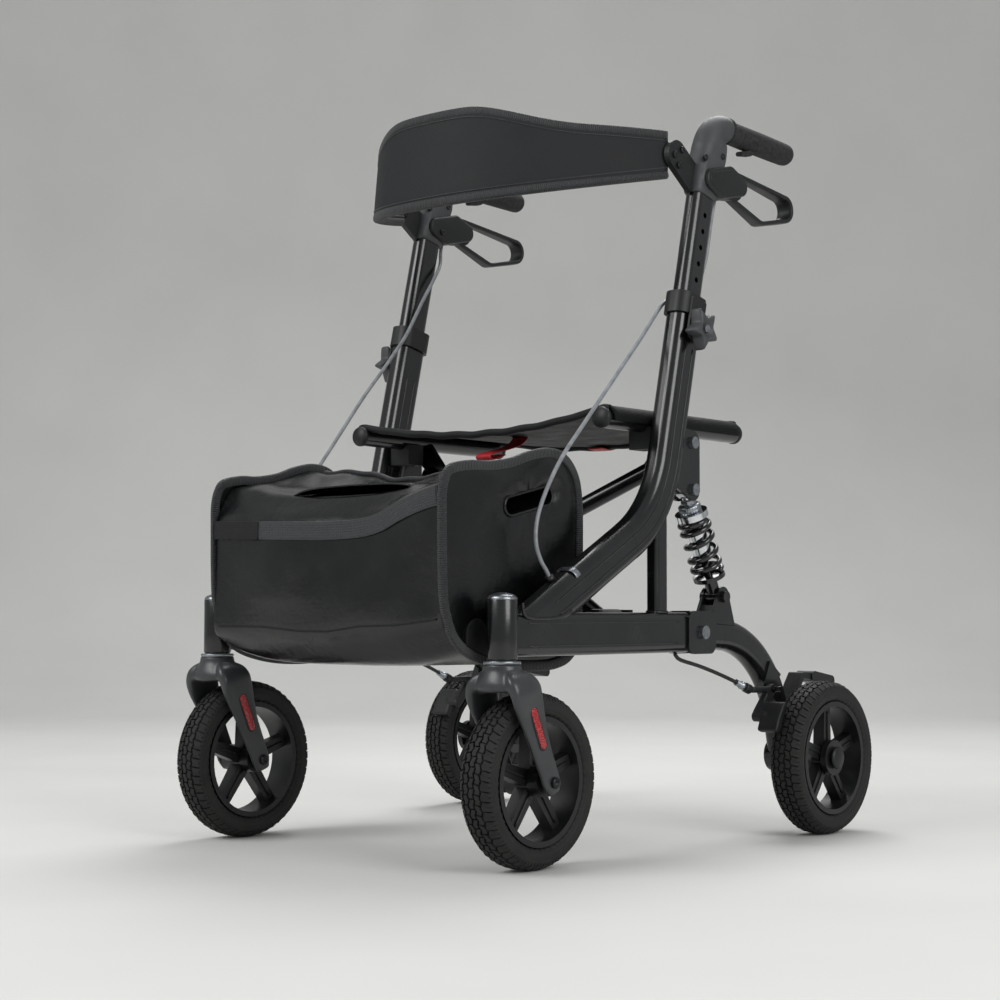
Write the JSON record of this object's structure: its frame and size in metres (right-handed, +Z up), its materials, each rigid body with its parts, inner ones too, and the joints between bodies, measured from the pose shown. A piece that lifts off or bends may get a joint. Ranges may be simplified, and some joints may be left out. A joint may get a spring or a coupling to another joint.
{
  "type": "rollator",
  "caption": "Black all terrain rollator: folding side frames, swivel front wheels, sprung rear wheels, brake levers, sling seat, backrest band and front bag.",
  "frame": {"origin": "floor level, midway between the front and rear axles and between the two side frames", "axes": "+Z up, -Y the way the rollator is pushed (front), +X the user's left"},
  "size_m": [0.651, 0.728, 0.9388],
  "materials": {
    "frame_black": "gloss black powder coat on aluminium tube",
    "moulded_black": "fine-grained black moulded nylon",
    "fork_black": "satin black glass-filled nylon",
    "rim_black": "satin black moulded rim",
    "grip_rubber": "soft black rubber",
    "tyre": "black foam rubber with a block tread",
    "zinc_steel": "dark zinc-plated fasteners",
    "chrome": "polished chrome",
    "spring_black": "gloss black enamelled spring steel",
    "reflector_red": "clear red reflector",
    "cable_grey": "silver-grey cable sheath",
    "cable_black": "black cable sheath",
    "seat_fabric": "black woven nylon",
    "bag_fabric": "coated black nylon, slightly glossy",
    "backrest_fabric": "padded black nylon with a ribbed binding"
  },
  "bodies": {
    "left_frame": {"left_main_tube": "frame_black", "left_lower_tube": "frame_black", "left_height_collar": "moulded_black", "left_rail_saddle": "moulded_black", "left_frame_bolts": "zinc_steel", "left_lower_cable": "cable_black", "bag": "bag_fabric"},
    "cross_a": {"right_cross_tube": "frame_black", "seat_sling": "seat_fabric"},
    "cross_b": {"left_cross_tube": "frame_black"},
    "right_frame": {"right_main_tube": "frame_black", "right_lower_tube": "frame_black", "right_height_collar": "moulded_black", "right_rail_saddle": "moulded_black", "right_frame_bolts": "zinc_steel", "right_lower_cable": "cable_black"},
    "left_post": {"left_handle_post": "frame_black", "left_handle_body": "moulded_black", "left_grip": "grip_rubber", "left_backrest_bracket": "moulded_black", "left_upper_cable": "cable_grey", "backrest_band": "backrest_fabric"},
    "left_knob": {"left_star_knob": "moulded_black"},
    "left_lever": {"left_brake_lever": "moulded_black"},
    "left_caster": {"left_fork": "fork_black", "left_reflectors": "reflector_red", "left_front_axle": "zinc_steel"},
    "left_front_wheel": {"left_front_tyre": "tyre", "left_front_rim": "rim_black"},
    "left_arm": {"left_swing_arm": "frame_black", "left_kerb_pedal": "fork_black", "left_rear_axle": "zinc_steel"},
    "left_rear_wheel": {"left_rear_tyre": "tyre", "left_rear_rim": "rim_black"},
    "left_damper": {"left_shock_damper": "chrome", "left_shock_spring": "spring_black"},
    "left_shock_rod": {"left_shock_rod": "spring_black"},
    "left_brake": {"left_brake_shoe": "moulded_black"},
    "right_post": {"right_handle_post": "frame_black", "right_handle_body": "moulded_black", "right_grip": "grip_rubber", "right_backrest_bracket": "moulded_black", "right_upper_cable": "cable_grey"},
    "right_knob": {"right_star_knob": "moulded_black"},
    "right_lever": {"right_brake_lever": "moulded_black"},
    "right_caster": {"right_fork": "fork_black", "right_reflectors": "reflector_red", "right_front_axle": "zinc_steel"},
    "right_front_wheel": {"right_front_tyre": "tyre", "right_front_rim": "rim_black"},
    "right_arm": {"right_swing_arm": "frame_black", "right_kerb_pedal": "fork_black", "right_rear_axle": "zinc_steel"},
    "right_rear_wheel": {"right_rear_tyre": "tyre", "right_rear_rim": "rim_black"},
    "right_damper": {"right_shock_damper": "chrome", "right_shock_spring": "spring_black"},
    "right_shock_rod": {"right_shock_rod": "spring_black"},
    "right_brake": {"right_brake_shoe": "moulded_black"}
  },
  "joints": [
    {"name": "fold", "type": "hinge", "parent": "left_frame", "child": "cross_a", "pos_m": [0.2075, -0.084, 0.28], "axis": [0, 1, 0], "range_deg": [0, 50], "deforming": ["seat_sling", "bag", "backrest_band"]},
    {"name": "fold_scissor", "type": "hinge", "parent": "cross_a", "child": "cross_b", "pos_m": [0, 0, 0.385], "axis": [0, 1, 0], "range_deg": [-100.5, 0.5]},
    {"name": "fold_right_side", "type": "hinge", "parent": "cross_b", "child": "right_frame", "pos_m": [-0.2075, -0.056, 0.28], "axis": [0, 1, 0], "range_deg": [-0.5, 50.5]},
    {"name": "left_post_slide", "type": "slide", "parent": "left_frame", "child": "left_post", "axis": [0, 0.225, 0.9744], "range_m": [-0.1, 0.02], "deforming": ["left_upper_cable"]},
    {"name": "left_knob_turn", "type": "hinge", "parent": "left_frame", "child": "left_knob", "pos_m": [0.24, 0.03627, 0.64502], "axis": [1, 0, 0], "range_deg": [0, 360]},
    {"name": "left_lever_squeeze", "type": "hinge", "parent": "left_post", "child": "left_lever", "pos_m": [0.24, 0.13306, 0.84769], "axis": [1, 0, 0], "range_deg": [0, 12.5], "stiffness_Nm_per_rad": 1, "springref_deg": -17.19},
    {"name": "left_caster_swivel", "type": "hinge", "parent": "left_frame", "child": "left_caster", "pos_m": [0.24, -0.311, 0.27], "axis": [0, 0, 1], "continuous": true},
    {"name": "left_front_wheel_spin", "type": "hinge", "parent": "left_caster", "child": "left_front_wheel", "pos_m": [0.24, -0.264, 0.1], "axis": [1, 0, 0], "continuous": true},
    {"name": "left_suspension", "type": "hinge", "parent": "left_frame", "child": "left_arm", "pos_m": [0.24, 0.055, 0.265], "axis": [1, 0, 0], "range_deg": [0, 7], "stiffness_Nm_per_rad": 400, "springref_deg": -2.29, "deforming": ["left_shock_spring", "left_lower_cable"]},
    {"name": "left_rear_wheel_spin", "type": "hinge", "parent": "left_arm", "child": "left_rear_wheel", "pos_m": [0.303, 0.264, 0.1], "axis": [1, 0, 0], "continuous": true},
    {"name": "left_shock_tilt", "type": "hinge", "parent": "left_frame", "child": "left_damper", "pos_m": [0.24, 0.04171, 0.444], "axis": [1, 0, 0], "range_deg": [-2, 0.5]},
    {"name": "left_shock_stroke", "type": "slide", "parent": "left_damper", "child": "left_shock_rod", "axis": [0, -0.4434, 0.8963], "range_m": [-0.0005, 0.0105]},
    {"name": "left_brake_press", "type": "hinge", "parent": "left_arm", "child": "left_brake", "pos_m": [0.265, 0.205, 0.19], "axis": [1, 0, 0], "range_deg": [-0.5, 3.5]},
    {"name": "right_post_slide", "type": "slide", "parent": "right_frame", "child": "right_post", "axis": [0, 0.225, 0.9744], "range_m": [-0.101, 0.021], "deforming": ["right_upper_cable"]},
    {"name": "right_knob_turn", "type": "hinge", "parent": "right_frame", "child": "right_knob", "pos_m": [-0.24, 0.03627, 0.64502], "axis": [1, 0, 0], "range_deg": [0, 360]},
    {"name": "right_lever_squeeze", "type": "hinge", "parent": "right_post", "child": "right_lever", "pos_m": [-0.24, 0.13306, 0.84769], "axis": [1, 0, 0], "range_deg": [0, 12.5], "stiffness_Nm_per_rad": 1, "springref_deg": -17.19},
    {"name": "right_caster_swivel", "type": "hinge", "parent": "right_frame", "child": "right_caster", "pos_m": [-0.24, -0.311, 0.27], "axis": [0, 0, 1], "continuous": true},
    {"name": "right_front_wheel_spin", "type": "hinge", "parent": "right_caster", "child": "right_front_wheel", "pos_m": [-0.24, -0.264, 0.1], "axis": [1, 0, 0], "continuous": true},
    {"name": "right_suspension", "type": "hinge", "parent": "right_frame", "child": "right_arm", "pos_m": [-0.24, 0.055, 0.265], "axis": [1, 0, 0], "range_deg": [0, 7], "stiffness_Nm_per_rad": 400, "springref_deg": -2.29, "deforming": ["right_shock_spring", "right_lower_cable"]},
    {"name": "right_rear_wheel_spin", "type": "hinge", "parent": "right_arm", "child": "right_rear_wheel", "pos_m": [-0.303, 0.264, 0.1], "axis": [1, 0, 0], "continuous": true},
    {"name": "right_shock_tilt", "type": "hinge", "parent": "right_frame", "child": "right_damper", "pos_m": [-0.24, 0.04171, 0.444], "axis": [1, 0, 0], "range_deg": [-2, 0.5]},
    {"name": "right_shock_stroke", "type": "slide", "parent": "right_damper", "child": "right_shock_rod", "axis": [0, -0.4434, 0.8963], "range_m": [-0.0005, 0.0105]},
    {"name": "right_brake_press", "type": "hinge", "parent": "right_arm", "child": "right_brake", "pos_m": [-0.265, 0.205, 0.19], "axis": [1, 0, 0], "range_deg": [-0.5, 3.5]}
  ],
  "couplings": [
    {"joint": "fold_scissor", "follows": "fold", "ratio": -2},
    {"joint": "fold_right_side", "follows": "fold", "ratio": 1},
    {"joint": "left_shock_tilt", "follows": "left_suspension", "ratio": -0.142},
    {"joint": "left_shock_stroke", "follows": "left_suspension", "m_per_rad": 0.0664},
    {"joint": "left_brake_press", "follows": "left_lever_squeeze", "ratio": 0.13},
    {"joint": "right_shock_tilt", "follows": "right_suspension", "ratio": -0.142},
    {"joint": "right_shock_stroke", "follows": "right_suspension", "m_per_rad": 0.0664},
    {"joint": "right_brake_press", "follows": "right_lever_squeeze", "ratio": 0.13},
    {"joint": "right_post_slide", "follows": "left_post_slide", "ratio": 1}
  ]
}
